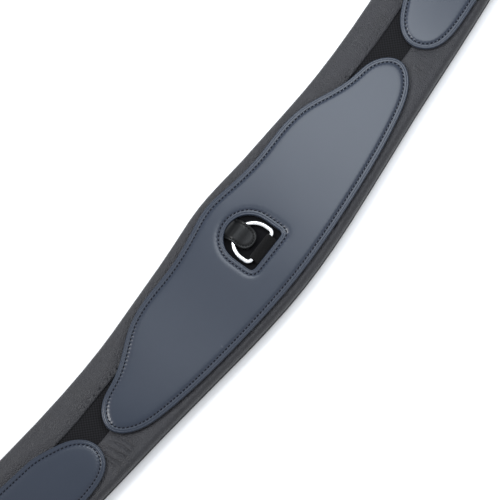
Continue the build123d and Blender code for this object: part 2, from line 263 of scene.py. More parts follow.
# ---------------------------------------------------------------- materials
class Paint:
    """A Principled material with short ways to wire its nodes."""

    def __init__(self, name, color, roughness, metallic=0.0, specular=0.5):
        self.material = bpy.data.materials.new(name)
        self.material.use_nodes = True
        self.tree = self.material.node_tree
        self.shader = self.tree.nodes["Principled BSDF"]
        self.shader.inputs["Base Color"].default_value = (*color, 1)
        self.shader.inputs["Roughness"].default_value = roughness
        self.shader.inputs["Metallic"].default_value = metallic
        self.shader.inputs["Specular IOR Level"].default_value = specular
        self.color = color
        self.coords = self.tree.nodes.new("ShaderNodeTexCoord").outputs["Object"]
        self.height = None

    def node(self, kind, **values):
        made = self.tree.nodes.new(kind)
        for key, value in values.items():
            if key in made.inputs:
                made.inputs[key].default_value = value
            else:
                setattr(made, key, value)
        return made

    def link(self, out, into):
        self.tree.links.new(out, into)

    def stretched(self, scale, turn=0.0):
        mapping = self.node("ShaderNodeMapping")
        mapping.inputs["Scale"].default_value = scale
        mapping.inputs["Rotation"].default_value = (0, 0, turn)
        self.link(self.coords, mapping.inputs["Vector"])
        return mapping.outputs["Vector"]

    def noise(self, scale, detail=3.0, roughness=0.5, vector=None):
        made = self.node("ShaderNodeTexNoise", Scale=scale, Detail=detail, Roughness=roughness)
        self.link(vector or self.coords, made.inputs["Vector"])
        return made.outputs["Fac"]

    def cells(self, scale, feature="F1", vector=None):
        made = self.node("ShaderNodeTexVoronoi", feature=feature, Scale=scale)
        self.link(vector or self.coords, made.inputs["Vector"])
        return made.outputs["Distance"]

    def bands(self, scale, direction, vector=None, distortion=0.0):
        made = self.node("ShaderNodeTexWave", wave_profile="SIN", Scale=scale, Distortion=distortion)
        made.bands_direction = direction
        self.link(vector or self.coords, made.inputs["Vector"])
        return made.outputs["Fac"]

    def remap(self, value, low, high, to_low, to_high):
        made = self.node("ShaderNodeMapRange", clamp=False)
        for key, number in (("From Min", low), ("From Max", high), ("To Min", to_low), ("To Max", to_high)):
            made.inputs[key].default_value = number
        self.link(value, made.inputs["Value"])
        return made.outputs["Result"]

    def math(self, kind, a, b):
        made = self.node("ShaderNodeMath", operation=kind)
        for socket, value in zip(made.inputs, (a, b)):
            if isinstance(value, (int, float)):
                socket.default_value = value
            else:
                self.link(value, socket)
        return made.outputs[0]

    def shade(self, factor, dark, light):
        """Base colour from dark to light versions of the paint's own colour."""
        ramp = self.node("ShaderNodeMix", data_type="RGBA")
        ramp.inputs["A"].default_value = (*[c * dark for c in self.color], 1)
        ramp.inputs["B"].default_value = (*[min(1, c * light) for c in self.color], 1)
        ramp.inputs[0].default_value = 0.5
        self.link(factor, ramp.inputs[0])
        self.link(ramp.outputs["Result"], self.shader.inputs["Base Color"])

    def roughen(self, factor, low, high):
        self.link(self.remap(factor, 0.3, 0.7, low, high), self.shader.inputs["Roughness"])

    def bump(self, value, depth_mm, strength=1.0):
        made = self.node("ShaderNodeBump", Strength=strength, Distance=depth_mm * M)
        self.link(value, made.inputs["Height"])
        if self.height is not None:
            self.link(self.height, made.inputs["Normal"])
        self.height = made.outputs["Normal"]
        self.link(self.height, self.shader.inputs["Normal"])


def smooth_leather(name, color, roughness, specular=0.4):
    """Close-grained dyed leather with a satin finish."""
    paint = Paint(name, color, roughness, specular=specular)
    cloud = paint.noise(25, 3)
    paint.shade(cloud, 0.93, 1.07)
    paint.bump(paint.cells(2600, "F1"), 0.012, 0.3)
    paint.bump(paint.noise(900, 3), 0.012, 0.3)
    return paint.material


def grained_leather(name, color, roughness):
    """Pebble-grained leather: rounded cells with fine creases between them."""
    paint = Paint(name, color, roughness, specular=0.4)
    warp = paint.node("ShaderNodeVectorMath", operation="MULTIPLY_ADD")
    wobble = paint.node("ShaderNodeTexNoise", Scale=500.0, Detail=2.0)
    paint.link(paint.coords, wobble.inputs["Vector"])
    paint.link(wobble.outputs["Color"], warp.inputs[0])
    warp.inputs[1].default_value = (0.0009, 0.0009, 0.0009)
    paint.link(paint.coords, warp.inputs[2])
    pebble = paint.cells(1000, "F1", warp.outputs[0])
    crease = paint.remap(pebble, 0.2, 0.8, 1.0, 0.0)
    small = paint.cells(2300, "F1", warp.outputs[0])
    cloud = paint.noise(55, 4)
    # Base colour darker in the creases between the pebbles, where the bump is low: painted shade, mixed with
    # random tone from the cloud noise.
    paint.shade(paint.math("MULTIPLY", paint.remap(crease, 0, 1, 0.65, 1.0), cloud), 0.55, 1.75)
    paint.roughen(cloud, roughness - 0.07, roughness + 0.07)
    paint.bump(crease, 0.3, 0.9)
    paint.bump(small, 0.07, 0.5)
    paint.bump(paint.noise(110, 3), 0.3, 0.25)
    return paint.material


def woven(name, color, pitch_mm):
    """Narrow woven tape: two sets of threads that pass over and under each other."""
    paint = Paint(name, color, 0.8, specular=0.1)
    paint.shader.inputs["Sheen Weight"].default_value = 0.04
    paint.shader.inputs["Sheen Roughness"].default_value = 0.5
    scale = 1 / (pitch_mm * M) / 20 * 2 * math.pi / 2
    vector = paint.stretched((1, 1, 1))
    warp = paint.bands(scale, "X", vector)
    weft = paint.bands(scale, "Y", vector)
    weave = paint.math("MULTIPLY", warp, weft)
    counter = paint.math("MULTIPLY", paint.math("SUBTRACT", 1.0, warp), paint.math("SUBTRACT", 1.0, weft))
    cloth = paint.math("ADD", weave, counter)
    # Base colour darker where the weave is low, on the same pattern as the bump: painted shade between the
    # threads.
    paint.shade(cloth, 0.35, 1.9)
    paint.bump(cloth, 0.25, 0.9)
    paint.bump(paint.noise(2500, 2), 0.05, 0.5)
    return paint.material


def ribbed(name, color):
    """Elastic webbing: soft ribs along it, crossed by fine rows of thread."""
    paint = Paint(name, color, 0.75, specular=0.2)
    paint.shader.inputs["Sheen Weight"].default_value = 0.08
    rows = paint.bands(1 / 0.0011 / 20 * 2 * math.pi, "X", distortion=0.6)
    # Base colour darker in the grooves between the rows, on the same bands as the bump: painted shade.
    paint.shade(rows, 0.55, 1.6)
    paint.bump(rows, 0.12, 0.7)
    paint.bump(paint.noise(2200, 2), 0.05, 0.5)
    return paint.material


def steel(name, roughness, scratch=0.3, color=(0.93, 0.935, 0.94)):
    """Polished steel with faint cloudy wear and fine scratches."""
    paint = Paint(name, color, roughness, metallic=1.0)
    wear = paint.noise(300, 5, 0.6)
    paint.roughen(wear, max(0.03, roughness - 0.05), roughness + 0.08)
    lines = paint.noise(900, 4, 0.7, paint.stretched((0.15, 1, 1), 0.4))
    paint.bump(lines, 0.01, scratch)
    return paint.material


def thread(name, color):
    """Waxed twisted thread."""
    paint = Paint(name, color, 0.6, specular=0.12)
    twist = paint.bands(190, "DIAGONAL")
    # Base colour darker in the grooves of the twist, on the same bands as the bump: painted shade.
    paint.shade(twist, 0.6, 1.5)
    paint.bump(twist, 0.08, 0.6)
    return paint.material


def foam(name, color):
    """Open-cell foam."""
    paint = Paint(name, color, 0.9, specular=0.2)
    pores = paint.cells(1400)
    # Base colour darker inside the pores, on the same cells as the bump: painted shade.
    paint.shade(pores, 0.6, 1.3)
    paint.bump(pores, 0.3, 0.8)
    return paint.material


def painted_edge(name, color):
    """Cut leather edge under shiny edge paint."""
    paint = Paint(name, color, 0.32)
    paint.shade(paint.noise(120, 3), 0.8, 1.2)
    paint.bump(paint.noise(700, 3), 0.08, 0.4)
    return paint.material


PANEL = smooth_leather("panel_leather", (0.0165, 0.0235, 0.039), 0.27)
EDGE = painted_edge("edge_paint", (0.014, 0.017, 0.026))
COVER = grained_leather("cover_leather", (0.017, 0.017, 0.0205), 0.46)
LINING = smooth_leather("lining_leather", (0.024, 0.024, 0.027), 0.45)
TAB = smooth_leather("tab_leather", (0.003, 0.0034, 0.0038), 0.32, 0.26)
WEB = woven("webbing", (0.007, 0.007, 0.008), 1.35)
CHAPE_WEB = woven("ring_webbing", (0.005, 0.0048, 0.005), 0.8)
CLOTH = woven("recess_cloth", (0.002, 0.002, 0.0028), 0.7)
ELASTIC = ribbed("elastic_webbing", (0.012, 0.012, 0.014))
NAVY = thread("panel_thread", (0.0025, 0.003, 0.007))
BLACK = thread("black_thread", (0.003, 0.003, 0.003))
RING = steel("ring_steel", 0.09, 0.1)
STEEL = steel("buckle_steel", 0.2, color=(0.62, 0.63, 0.65))
FOAM = foam("foam", (0.10, 0.10, 0.11))
HOOKS = woven("hook_and_loop", (0.010, 0.010, 0.011), 0.5)


# ---------------------------------------------------------------- stitches
def stitches(name, places, headings, z, material, length=2.75, radius=0.36, slant=0.2, up=1.0, lift=None):
    """One lens-shaped bead of thread for each place, along its heading and turned by the slant."""
    stations = np.linspace(-1, 1, 7)
    girth = np.sqrt(np.clip(1 - stations ** 4, 0.03, 1)) * radius
    around = np.linspace(0, 2 * math.pi, 8, endpoint=False)
    bead = np.array([
        (s * length / 2, r * math.cos(a), r * math.sin(a) * 0.8 - 0.12 * s * s * radius)
        for s, r in zip(stations, girth) for a in around
    ])
    turn = np.arctan2(headings[:, 1], headings[:, 0]) + slant
    z = np.broadcast_to(np.asarray(z, float), (len(places),))
    points, faces = [], []
    for k, (place, angle) in enumerate(zip(places, turn)):
        c, s = math.cos(angle), math.sin(angle)
        x = place[0] + bead[:, 0] * c - bead[:, 1] * s
        y = place[1] + bead[:, 0] * s + bead[:, 1] * c
        points.append(np.column_stack([x, y, z[k] + up * bead[:, 2]]))
        base = k * len(bead)
        for i in range(len(stations) - 1):
            for j in range(8):
                m = (j + 1) % 8
                a, b = base + i * 8, base + (i + 1) * 8
                faces.append((a + j, b + j, b + m, a + m))
        faces.append(tuple(base + j for j in range(8)))
        faces.append(tuple(base + 48 + 7 - j for j in range(8)))
    points = np.vstack(points)
    if lift is not None:
        points = lift(points)
    return make_mesh(name, points, faces, material)


# ---------------------------------------------------------------- panels
# Profile of a stitched panel's edge: distance in from its outline, height above the panel's underside,
# and how far the thread's pull moves that ring down at each hole.
EDGE_PROFILE = [
    (0.45, 0.02, 0), (0.08, 0.2, 0), (0.0, 0.6, 0), (0.0, 1.15, 0), (0.2, 1.52, 0), (0.6, 1.7, 0),
    (1.0, 1.72, 0), (1.35, 1.5, 0), (1.7, 1.74, 0), (2.2, 1.8, 0), (2.9, 1.78, 0.02), (3.4, 1.66, 0.06),
    (3.8, 1.54, 0.1), (4.2, 1.66, 0.14), (4.7, 1.88, 0.14), (5.3, 2.08, 0.07), (6.2, 2.24, 0.02),
    (7.6, 2.38, 0),
]
FIELD_TOP = 2.8  # height of the field's middle
RECESS_LIFT = 0.32  # how much higher the edge round the recess lies than the outer edge


def shortfall(gap):
    """How far the field lies below its middle height, by distance in from the outline."""
    return (FIELD_TOP - EDGE_PROFILE[-1][1]) * np.exp(-(gap - EDGE_PROFILE[-1][0]) / 12)


def recess_shortfall(gap):
    """The same beside the recess, by distance from its edge."""
    rise = EDGE_PROFILE[-1][1] + RECESS_LIFT
    return (FIELD_TOP - rise) * np.exp(-(gap - EDGE_PROFILE[-1][0]) / 6)


def stitch_line(loop, inset, sign=1):
    """Evenly spaced points along the stitch line of a loop, four to each stitch."""
    line = fine(loop)
    line = resample(line + sign * inset * inward(line), spacing=0.5)
    count = 4 * int(round(length_of(line) / STITCH_PITCH))
    return resample(soften(line, 20), count=count)


def edge_rings(shell, line, sign, base, outline=None):
    """Rings of one stitched edge from outside in. The line is its stitch line, and a recess also gives
    the outline of its panel."""
    pull = np.where(np.arange(len(line)) % 4 == 2, 1.0, np.where(np.arange(len(line)) % 4 == 0, -0.4, 0.0))
    normal = sign * inward(line)
    rings = []
    for gap, z, depth in EDGE_PROFILE:
        plan = line + (gap - STITCH_INSET) * normal
        height = base + z - depth * pull
        if outline is not None:
            height = height + (RECESS_LIFT - shortfall(distance_to(plan, outline))) * smooth01(z / 1.5)
        rings.append(shell.ring(plan, height))
    for a, b in zip(rings, rings[1:]):
        shell.bridge(a, b, flip=sign < 0)
    return rings


def make_panel(name, outline, holes=()):
    """A stitched panel with raised field, and its thread."""
    base = Z_BACKING
    shell = Shell()
    line = stitch_line(outline, STITCH_INSET)
    hole_lines = [stitch_line(h, STITCH_INSET, -1) for h in holes]
    outer = edge_rings(shell, line, 1, base)
    rim, hole_rims = fine(outline), [fine(h) for h in holes]
    inner = [edge_rings(shell, h, -1, base, rim) for h in hole_lines]

    def height(plan):
        down = shortfall(distance_to(plan, rim))
        for hole in hole_rims:
            down = down + recess_shortfall(distance_to(plan, hole))
        return base + FIELD_TOP - down + 0.04 * ripple(plan, 90, 3, 2) * smooth01(4 - 4 * down)

    shell.fill(outer[-1], [r[-1] for r in inner], 1.5, height)
    shell.fill(outer[0], [r[0] for r in inner], 12.0, lambda plan: np.full(len(plan), base + 0.02), flip=True)
    panel = shell.make(name, PANEL)
    threads = []
    for k, run in enumerate([line, *hole_lines]):
        heading = np.roll(run, -1, 0) - np.roll(run, 1, 0)
        pick = np.arange(0, len(run), 4)
        label = name.replace("panel", "stitching") if k == 0 else "recess_stitching"
        z = base + 1.66
        if k:
            z = z + RECESS_LIFT - shortfall(distance_to(run[pick], rim))
        made = stitches(label, run[pick], heading[pick], z, NAVY, length=2.2, radius=0.5)
        threads.append(made)
    return panel, threads


def make_backing(name, outline, holes=()):
    """The stiff leather under a panel, with rounded painted edges."""
    profile = [(0.6, 0.0), (0.12, 0.15), (-0.05, 0.55), (0.05, 0.95), (0.5, 1.15)]
    base = Z_COVER
    shell = Shell()
    runs = [(resample(fine(outline), spacing=1.5), 1)]
    runs += [(resample(fine(h), spacing=1.5), -1) for h in holes]
    sets = []
    for run, sign in runs:
        rings = [shell.ring(run + sign * gap * inward(run), base + z) for gap, z in profile]
        for a, b in zip(rings, rings[1:]):
            shell.bridge(a, b, flip=sign < 0)
        sets.append(rings)
    for level, flip in ((-1, False), (0, True)):
        z = base + profile[level][1]
        holes_here = [s[level] for s in sets[1:]]
        shell.fill(sets[0][level], holes_here, 14.0, lambda plan: np.full(len(plan), z), flip)
    backing = shell.make(name, EDGE)
    return backing


BODY = "girth_body"
centre_loops = cap_loops("centre_panel", low_z("centre_panel"))
centre_outline, recess = centre_loops[0], centre_loops[-1]
end_outlines = {}
for side in ("left", "right"):
    end_outlines[side] = cap_loops(f"{side}_end_backing", low_z(f"{side}_end_backing"))[0]
pad_outline = fine(cap_loops("lining", 0)[0], 4)

panel, threads = make_panel("centre_panel_leather", centre_outline, [recess])
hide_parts("centre_panel")
for piece in (panel, *threads):
    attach(piece, BODY)
backing = make_backing("centre_backing_leather", centre_outline, cap_loops("centre_backing", Z_COVER)[1:])
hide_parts("centre_backing")
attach(backing, BODY)
for side, outline in end_outlines.items():
    panel, threads = make_panel(f"{side}_end_panel_leather", outline)
    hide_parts(f"{side}_end_panel")
    for piece in (panel, *threads):
        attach(piece, BODY)
    backing = make_backing(f"{side}_end_backing_leather", outline)
    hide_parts(f"{side}_end_backing")
    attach(backing, BODY)


# ---------------------------------------------------------------- padded body
# Rounded side of the body: distance in from its outline, and height.
SIDE_PROFILE = [
    (2.3, 1.65), (1.25, 2.3), (0.6, 3.6), (0.2, 5.2), (0.0, 7.0), (0.05, 8.6), (0.35, 10.0), (0.85, 11.1),
    (1.6, 12.0), (2.5, 12.65), (3.6, 13.05), (4.9, 13.2), (6.2, 13.2),
]
# Turned edge beside the slot that shows the strap.
SLOT_PROFILE = [
    (0.0, 1.65), (0.0, 3.5), (0.0, 5.0), (0.0, 6.5), (0.0, 8.0), (0.0, 9.3), (0.0, 10.4), (0.0, 11.2),
    (0.05, 11.9), (0.3, 12.5), (0.9, 12.9), (1.8, 13.1), (2.8, 13.2),
]
COVER_TOP = 13.2
SLOT_HALF = 11.5
SLOT_END = 476.0
STRAP_LINE = [(0, 5.5), (190, 8.8), (240, 12.0), (540, 44.6)]


def strap_y(x):
    """Centre line of the strap, across the girth, at a place along it."""
    xs, ys = zip(*STRAP_LINE)
    return np.interp(np.abs(x), xs, ys)


class CoverPlan:
    """Plan of one cover: its part of the body's outline, then back along the slot and the seam."""

    def __init__(self, direction):
        self.direction = direction
        rim = resample(pad_outline, spacing=1.6)
        normal = inward(rim)
        ahead = direction * (rim[:, 1] - strap_y(rim[:, 0]))
        start = int(np.argmax((ahead > 0) & (np.roll(ahead, 1) <= 0)))
        rim, normal, ahead = (np.roll(a, -start, 0) for a in (rim, normal, ahead))
        count = int(np.argmax(ahead <= 0))
        ends = []
        for i, j in ((0, -1), (count - 1, count)):
            t = ahead[i] / (ahead[i] - ahead[j])
            ends.append((rim[i] + t * (rim[j] - rim[i]), normal[i]))
        self.rim = np.vstack([ends[0][0], rim[:count], ends[1][0]])
        self.normal = np.vstack([ends[0][1], normal[:count], ends[1][1]])
        first, last = self.rim[0, 0], self.rim[-1, 0]
        self.seam = np.linspace(last, first, int(abs(last - first) / 1.6))[1:-1]
        self.edge = abs(first)

    def ring(self, side_gap, slot_gap):
        """The whole loop, moved in by one distance at the body's side and another along the seam."""
        near_end = np.clip(1 - (self.edge - np.abs(self.seam)) / 14, 0, 1)
        x = self.seam - np.sign(self.seam) * side_gap * near_end
        inset = SLOT_HALF * smooth01((SLOT_END - np.abs(x)) / 6)
        seam = np.column_stack([x, strap_y(x) + self.direction * (inset + slot_gap)])
        rim = self.rim + side_gap * self.normal
        near_seam = np.zeros(len(rim))
        for end in (0, -1):
            gap = np.linalg.norm(self.rim - self.rim[end], axis=1)
            near_seam = np.maximum(near_seam, np.clip(1 - gap / 9, 0, 1))
        rim[:, 1] += self.direction * slot_gap * near_seam
        return np.vstack([rim, seam])


panel_loops = [fine(centre_outline), *[fine(o) for o in end_outlines.values()]]
# Creases across the rear strip beside a panel's end: place along, place across, depth, half length.
CREASES = [
    (-201.5, -21, 0.6, 8), (-197.5, -20, 1.1, 9), (-192.0, -18, 1.2, 11), (-186.7, -19, 1.2, 11),
    (-181.5, -22, 0.9, 8), (186.5, -19, 0.5, 7), (193, -20, 0.4, 7),
]


def cover_height(plan, direction):
    """Top of a cover: pressed in under the panels, puffed up where it is free, with a few creases."""
    outside = np.full(len(plan), 1e9)
    for loop in panel_loops:
        gap = distance_to(plan, loop)
        outside = np.minimum(outside, np.where(inside(plan, loop), -gap, gap))
    from_side = distance_to(plan, pad_outline)
    from_slot = direction * (plan[:, 1] - strap_y(plan[:, 0])) - SLOT_HALF
    free = smooth01((outside - 1) / 7) * smooth01((from_side - 6) / 7) * smooth01((from_slot - 1) / 6)
    puff = free * (0.75 + 0.12 * ripple(plan, 26, 11))
    height = COVER_TOP - 0.55 * (1 - smooth01((outside + 1) / 5)) + puff
    height += 0.05 * smooth01(outside / 3) * smooth01((from_side - 6) / 4) * ripple(plan, 9, 5)
    if direction < 0:
        for x, y, depth, reach in CREASES:
            bend = plan[:, 0] - x - 0.9 * np.sin((plan[:, 1] - y) / 6 + x)
            along = np.exp(-((plan[:, 1] - y) / reach) ** 4)
            fold = (np.exp(-(bend / 0.95) ** 2) - 0.45) * np.exp(-(bend / 3) ** 2)
            height -= depth * fold * along * smooth01(outside / 2.5)
    return height


def make_cover(name, direction):
    plan = CoverPlan(direction)
    on_rim = np.arange(len(plan.rim) + len(plan.seam)) < len(plan.rim)
    shell = Shell()
    rings = []
    turned = area_of(plan.ring(0, 0)) < 0
    for k, ((gap_a, z_a), (gap_b, z_b)) in enumerate(zip(SIDE_PROFILE, SLOT_PROFILE)):
        loop = plan.ring(gap_a, gap_b)
        z = np.where(on_rim, z_a, z_b)
        settle = smooth01((k - 8) / 4)
        if settle > 0:
            z = z + settle * (cover_height(loop, direction) - COVER_TOP)
        if turned:
            loop, z = loop[::-1], z[::-1]
        rings.append(shell.ring(loop, z))
    for a, b in zip(rings, rings[1:]):
        shell.bridge(a, b)
    dense = [(-207, -176, -34, -6, 0.7), (180, 198, -34, -6, 0.8)] if direction < 0 else []
    shell.fill(rings[-1], [], 1.7, lambda p: cover_height(p, direction), dense=dense)
    shell.fill(rings[0], [], 14.0, lambda p: np.full(len(p), SIDE_PROFILE[0][1]), flip=True)
    cover = shell.make(f"{name}_leather", COVER)
    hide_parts(name)
    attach(cover, BODY)


make_cover("front_cover", 1)
make_cover("rear_cover", -1)


def make_lining():
    """Leather against the horse, turned up at its edge and sewn round."""
    seam = 5.0
    profile = [(1.4, 1.7), (0.4, 1.55), (0.0, 1.1), (0.12, 0.55), (0.6, 0.18), (1.5, 0.04), (3.0, 0.0),
               (4.4, 0.02), (5.0, 0.4), (5.6, 0.02), (7.0, 0.0)]
    run = resample(pad_outline, spacing=1.4)
    normal = inward(run)
    shell = Shell()
    rings = [shell.ring(run + gap * normal, z) for gap, z in profile]
    for a, b in zip(rings, rings[1:]):
        shell.bridge(a, b, flip=True)
    shell.fill(rings[0], [], 14.0, lambda plan: np.full(len(plan), profile[0][1]))
    shell.fill(rings[-1], [], 6.0, lambda plan: 0.12 + 0.1 * ripple(plan, 40, 9), flip=True)
    lining = shell.make("lining_leather", LINING)
    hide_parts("lining")
    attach(lining, BODY)
    line = resample(pad_outline + seam * inward(pad_outline), spacing=STITCH_PITCH)
    heading = np.roll(line, -1, 0) - np.roll(line, 1, 0)
    made = stitches("lining_stitching", line, heading, 0.36, BLACK, up=-1.0)
    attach(made, BODY)


make_lining()


# ---------------------------------------------------------------- recess, ring, chape and tab
def band_surface(name, path, half_width, thickness, material):
    """Closed band of webbing: a centre line in the Y-Z plane, swept across X, with rounded edges."""
    path = np.array(path, float)
    heading = np.gradient(path, axis=0)
    heading /= np.linalg.norm(heading, axis=1)[:, None]
    normal = np.column_stack([-heading[:, 1], heading[:, 0]])
    w = np.linspace(-1, 1, 25)
    lens = np.sqrt(np.clip(1 - np.abs(w) ** 10, 0.02, 1)) * thickness / 2
    section = [(x, t) for x, t in zip(w, lens)] + [(x, -t) for x, t in zip(w[::-1], lens[::-1])]
    points = []
    for p, n in zip(path, normal):
        for x, t in section:
            points.append((x * half_width, p[0] + n[0] * t, p[1] + n[1] * t))
    m = len(section)
    faces = []
    for i in range(len(path) - 1):
        for j in range(m):
            k = (j + 1) % m
            faces.append((i * m + j, i * m + k, (i + 1) * m + k, (i + 1) * m + j))
    faces.append(tuple(range(m))[::-1])
    faces.append(tuple((len(path) - 1) * m + j for j in range(m)))
    return make_mesh(name, points, faces, material)


def spline(points):
    """Catmull-Rom curve through points, with eight steps to each span."""
    p = np.array(points, float)
    p = np.vstack([2 * p[0] - p[1], p, 2 * p[-1] - p[-2]])
    out = []
    for i in range(1, len(p) - 2):
        for t in np.arange(8) / 8:
            a, b, c, d = p[i - 1], p[i], p[i + 1], p[i + 2]
            out.append(0.5 * (2 * b + (c - a) * t + (2 * a - 5 * b + 4 * c - d) * t ** 2
                              + (3 * b - a - 3 * c + d) * t ** 3))
    out.append(p[-2])
    return np.array(out)


ring_low, ring_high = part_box("d_ring")
WIRE_R = (ring_high.z - ring_low.z) / M / 2
RING_Z = (ring_high.z + ring_low.z) / M / 2
BAR_Y = ring_low.y / M + WIRE_R


def make_ring_chape():
    turn = WIRE_R + 0.6
    top = [(-28, Z_COVER + 0.6), (-19, Z_COVER + 0.55), (-14.5, Z_COVER + 0.95), (-11.6, Z_COVER + 2.7)]
    angles = np.radians(np.arange(115, -100, -24))
    arc = [(BAR_Y + turn * math.cos(a), RING_Z + turn * math.sin(a)) for a in angles]
    under = [(-11.5, Z_COVER + 0.1), (-14, Z_COVER - 0.1)]
    chape = band_surface("ring_chape_webbing", spline(top + arc + under), 11.6, 0.95, CHAPE_WEB)
    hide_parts("d_ring_chape")
    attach(chape, BODY)


def make_recess_floor():
    shell = Shell()
    run = resample(fine(recess), spacing=1.2)
    outer = run - 4.0 * inward(run)
    rings = [shell.ring(outer, Z_COVER - 0.3), shell.ring(outer, Z_COVER)]
    rings.append(shell.ring(outer + 1.5 * inward(outer), Z_COVER + 0.02))
    for a, b in zip(rings, rings[1:]):
        shell.bridge(a, b)
    shell.fill(rings[-1], [], 1.5, lambda plan: Z_COVER - 0.05 + 0.1 * ripple(plan, 14, 21))
    shell.fill(rings[0], [], 6.0, lambda plan: np.full(len(plan), Z_COVER - 0.3), flip=True)
    floor_cloth = shell.make("recess_cloth_lining", CLOTH)
    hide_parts("recess_lining")
    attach(floor_cloth, BODY)


TAB_X = -1.0
TAB_HALF = 9.0
TAB_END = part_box("keeper_tab")[0].y / M
TAB_ROOT = 29.0
TAB_CURVE = spline([
    (-8, 16.2), (-2, 16.25), (3, 16.5), (6.2, 17.0), (9, 17.75), (11.5, 18.2),
    (14, 18.2), (16, 17.5), (18, 15.9), (20, 14.55), (22.5, 14.15), (30, 14.15),
])


def tab_height(plan):
    """Top of the tab: out of the pocket, over the wire of the bow, and down inside the ring."""
    return np.interp(plan[:, 1], TAB_CURVE[:, 0], TAB_CURVE[:, 1])


def make_tab():
    corner = 8.2
    angle = np.radians(np.linspace(180, 360, 60))
    wide = np.column_stack([
        TAB_X + (TAB_HALF - corner) * np.sign(np.cos(angle)) + corner * np.cos(angle),
        TAB_END + corner + corner * np.sin(angle),
    ])
    angle = np.radians(np.linspace(0, 180, 40))
    hidden = np.column_stack([
        TAB_X + (TAB_HALF - 4.75) * np.sign(np.cos(angle)) + 5 * np.cos(angle),
        TAB_ROOT - 5 + 5 * np.sin(angle),
    ])
    loop = np.vstack([wide, hidden])
    run = resample(soften(resample(loop, spacing=0.4), 8), spacing=0.62)
    normal = inward(run)
    profile = [
        (0.35, -1.25), (0.02, -0.95), (0.0, -0.5), (0.15, -0.18), (0.5, 0.0), (1.0, 0.02), (1.45, -0.12),
        (1.9, -0.32), (2.35, -0.12), (2.9, 0.08), (3.7, 0.16),
    ]
    shell = Shell()
    rings = []
    for gap, rise in profile:
        plan = run + gap * normal
        rings.append(shell.ring(plan, tab_height(plan) + rise))
    for a, b in zip(rings, rings[1:]):
        shell.bridge(a, b)
    shell.fill(rings[-1], [], 0.6, lambda plan: tab_height(plan) + 0.18)
    shell.fill(rings[0], [], 0.6, lambda plan: tab_height(plan) - 1.25, flip=True)
    tab = shell.make("keeper_tab_leather", TAB)
    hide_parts("keeper_tab")
    line = resample(run + 1.9 * normal, spacing=0.25)
    line = line[line[:, 1] < 20]
    start = int(np.argmax(line[:, 1] - 100 * (line[:, 0] > TAB_X)))
    line = np.roll(line, -start, 0)
    if line[5, 0] > TAB_X:
        line = line[::-1]
    step = 9  # points from one stitch to the next
    heading = np.gradient(line, axis=0)
    pick = np.arange(3, len(line) - 3, step)

    def onto_tab(points):
        return np.column_stack([points[:, :2], tab_height(points) - 0.12 + points[:, 2]])

    seam = stitches("tab_stitching", line[pick], heading[pick], 0.0, BLACK, length=1.6, radius=0.33, slant=0.0,
                    lift=onto_tab)
    for piece in (tab, seam):
        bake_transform(piece)


make_recess_floor()
make_ring_chape()
make_tab()


# ---------------------------------------------------------------- carried-over CAD pieces
def paint_node(name, material):
    mesh = nodes[name].data
    mesh.materials.clear()
    mesh.materials.append(material)


for name, material in (
    ("foam_core", FOAM), ("core_strap", WEB), ("centre_filler", FOAM), ("left_end_filler", FOAM),
    ("right_end_filler", FOAM), ("d_ring", RING), ("tab_hook_patch", HOOKS), ("tab_loop_patch", HOOKS),
):
    paint_node(name, material)


# ---------------------------------------------------------------- elastics and buckles
BAR_X = 74.0  # heel bar, outward from the body's end
CHAPE_START = 44.0
CHAPE_SLOT_X = 62.5


class Local:
    """Frame of one buckle: x outward from the end of the body, y across, z up, in millimetres."""

    def __init__(self, place):
        joint = {j["name"]: j for j in frame["joints"]}
        self.out = np.array(joint[f"{place}_stretch"]["axis"][:2])
        self.across = np.array([-self.out[1], self.out[0]])
        bar = np.array(joint[f"{place}_buckle_swing"]["pos_m"]) / M
        self.bar_z = bar[2]
        self.origin = bar[:2] - BAR_X * self.out

    def to_row(self, points):
        points = np.asarray(points, float)
        plan = self.origin + points[:, :1] * self.out + points[:, 1:2] * self.across
        return np.column_stack([plan, points[:, 2]])


def drop_height(x, high, low):
    """Height of an elastic's middle, from the body's end down to the chape."""
    return high + (low - high) * smooth01((x - 3.0) / 39.0)


def make_elastic(place, local):
    """Doubled elastic webbing with lengthwise ribs."""
    high, low = Z_COVER - 2.0, local.bar_z
    x = np.arange(-38, 59.5, 0.9)
    w = np.linspace(-12.4, 12.4, 100)
    rib = 0.26 * np.abs(np.sin(w / 2.48 * math.pi))
    points, faces = [], []
    for layer in (1, -1):
        mid = layer * 0.98
        side = np.sqrt(np.clip(1 - (np.abs(w) / 12.42) ** 40, 0.02, 1))
        start = len(points)
        for station in x:
            z = drop_height(station, high, low) + mid
            weave = 0.04 * math.cos(station * math.pi / 0.9)
            points += [(station, a, z + (0.68 + r + weave) * s) for a, r, s in zip(w, rib, side)]
            points += [(station, a, z - (0.78 + r * 0.4) * s) for a, r, s in zip(w[::-1], rib, side)]
        n = 2 * len(w)
        for i in range(len(x) - 1):
            for j in range(n):
                k = (j + 1) % n
                a, b = start + i * n, start + (i + 1) * n
                faces.append((a + j, b + j, b + k, a + k))
        faces.append(tuple(start + j for j in range(n)))
        faces.append(tuple(start + (len(x) - 1) * n + j for j in range(n))[::-1])
    elastic = make_mesh(f"{place}_elastic_webbing", local.to_row(points), faces, ELASTIC)
    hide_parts(f"{place}_elastic")
    ends = local.to_row([(4.0, 0, high), (42.0, 0, high)]) * M
    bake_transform(elastic)


